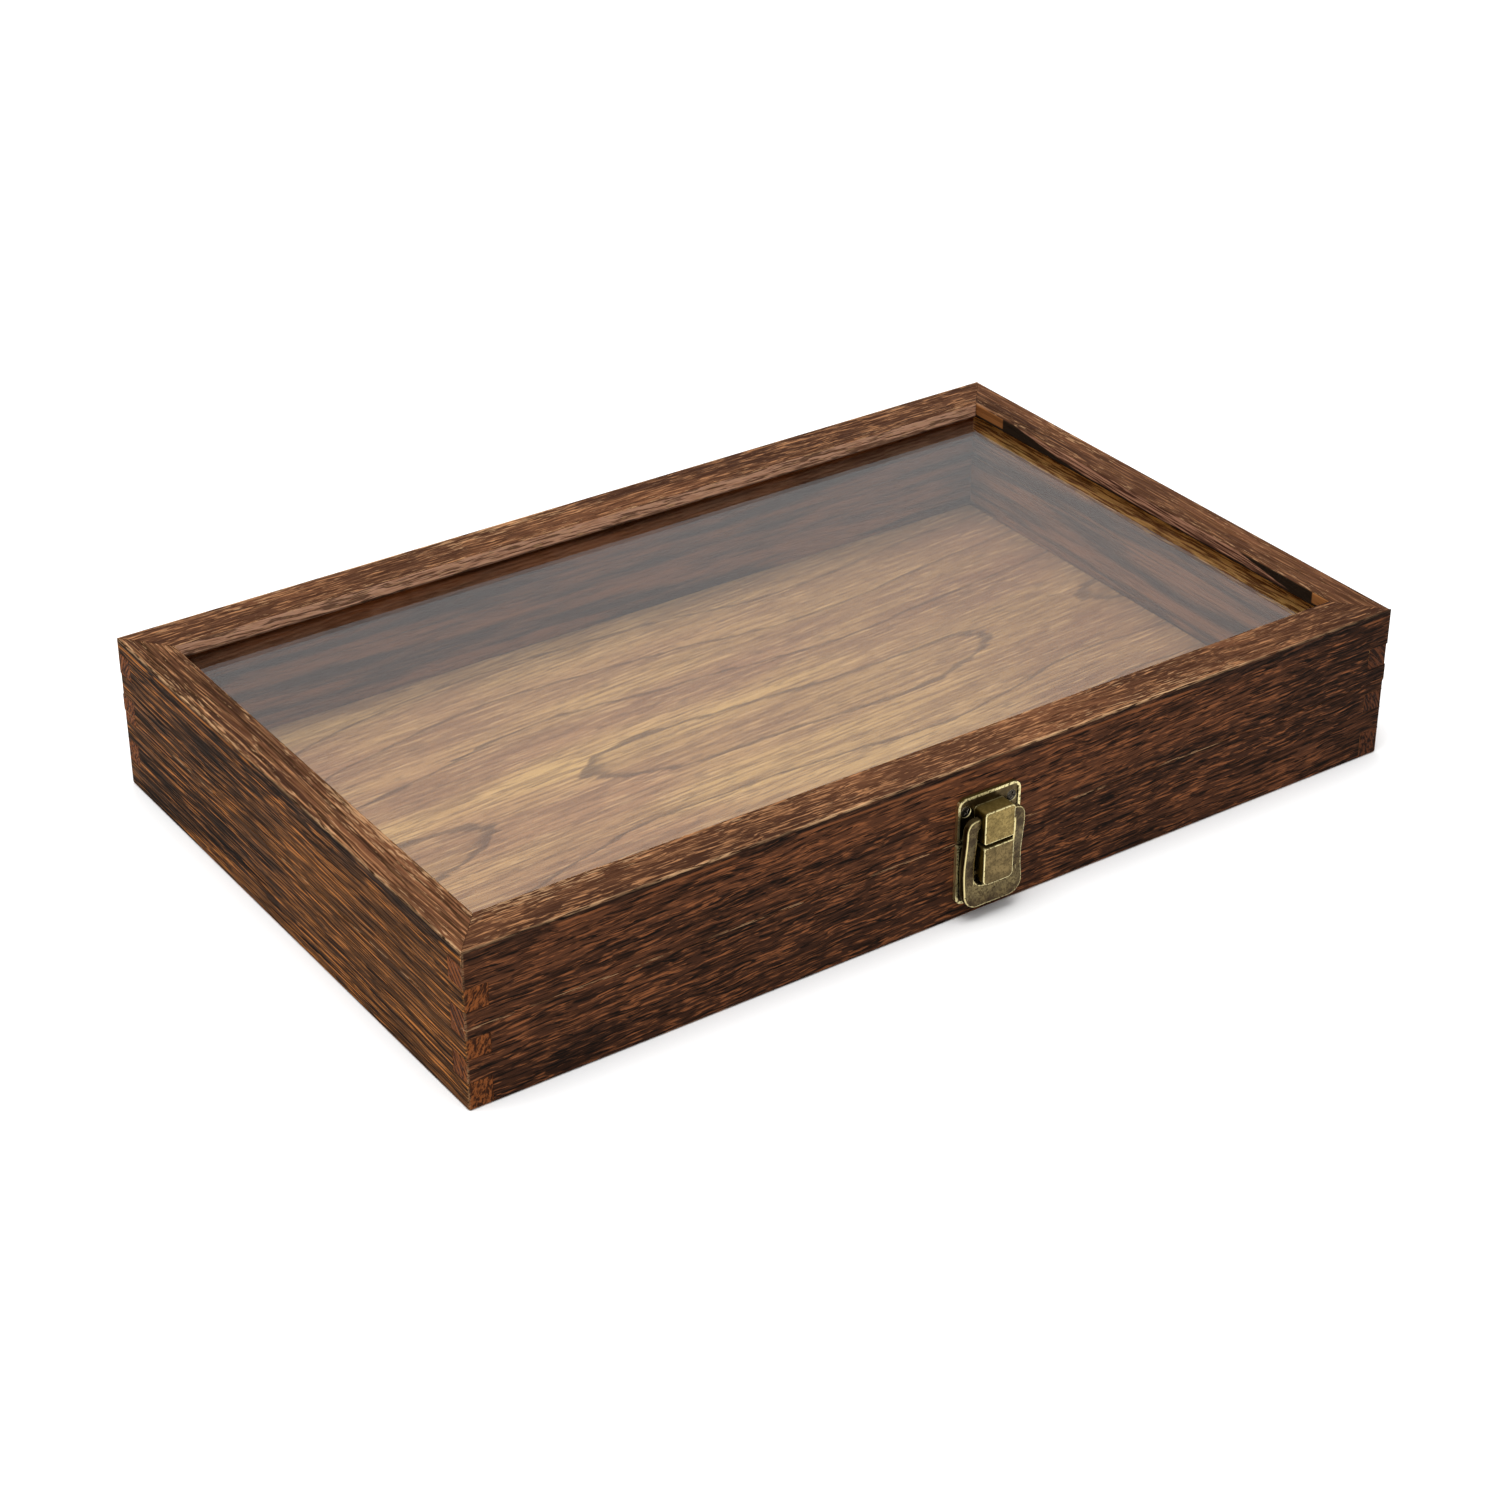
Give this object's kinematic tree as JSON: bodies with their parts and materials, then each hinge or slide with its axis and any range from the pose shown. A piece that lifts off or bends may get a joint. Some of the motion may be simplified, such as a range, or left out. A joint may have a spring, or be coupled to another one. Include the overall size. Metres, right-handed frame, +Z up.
{
  "type": "shadow box",
  "caption": "Flat wooden display case with a glazed, hinged lid, finger-jointed corners and a brass draw latch on its front.",
  "frame": {"origin": "centre of the case's footprint, at the height of the walls' bottom edges that the case rests on", "axes": "+X along the case's length to the viewer's right, +Y from the latch at the front to the hinges at the back, +Z up"},
  "size_m": [0.35, 0.2317, 0.054],
  "materials": {
    "case_wood": "dark torched and oiled, satin",
    "floor_veneer": "light walnut veneer, satin",
    "glass": "clear, polished",
    "antique_brass": "antique plated, rubbed edges",
    "screw_steel": "blackened",
    "spring_steel": "bright drawn wire"
  },
  "bodies": {
    "base": {"base_front_wall": "case_wood", "base_back_wall": "case_wood", "base_left_wall": "case_wood", "base_right_wall": "case_wood", "bottom_panel": "floor_veneer", "hinge_left_base_leaf": "antique_brass", "hinge_left_pin": "antique_brass", "hinge_left_base_screw_left": "screw_steel", "hinge_left_base_screw_right": "screw_steel", "hinge_right_base_leaf": "antique_brass", "hinge_right_pin": "antique_brass", "hinge_right_base_screw_left": "screw_steel", "hinge_right_base_screw_right": "screw_steel", "latch_base_plate": "antique_brass", "latch_base_screw_left": "screw_steel", "latch_base_screw_right": "screw_steel"},
    "lid": {"lid_front_rail": "case_wood", "lid_back_rail": "case_wood", "lid_left_rail": "case_wood", "lid_right_rail": "case_wood", "glass_pane": "glass", "hinge_left_lid_leaf": "antique_brass", "hinge_left_lid_screw_left": "screw_steel", "hinge_left_lid_screw_right": "screw_steel", "hinge_right_lid_leaf": "antique_brass", "hinge_right_lid_screw_left": "screw_steel", "hinge_right_lid_screw_right": "screw_steel", "catch_plate": "antique_brass", "latch_catch_screw_left": "screw_steel", "latch_catch_screw_right": "screw_steel"},
    "handle": {"latch_handle": "antique_brass", "handle_pin": "antique_brass", "tongue_pin": "antique_brass", "tongue_spring": "spring_steel"},
    "tongue": {"latch_tongue": "antique_brass"}
  },
  "joints": [
    {"name": "lid_hinge", "type": "hinge", "parent": "base", "child": "lid", "pos_m": [0, 0.1113, 0.0277], "axis": [-1, 0, 0], "range_deg": [0, 105]},
    {"name": "latch_handle_hinge", "type": "hinge", "parent": "lid", "child": "handle", "pos_m": [0.0084, -0.11295, 0.0353], "axis": [-1, 0, 0], "range_deg": [0, 110]},
    {"name": "latch_tongue_hinge", "type": "hinge", "parent": "handle", "child": "tongue", "pos_m": [0.0084, -0.11177, 0.0167], "axis": [1, 0, 0], "range_deg": [0, 15], "stiffness_Nm_per_rad": 0.02, "springref_deg": -17.19}
  ]
}
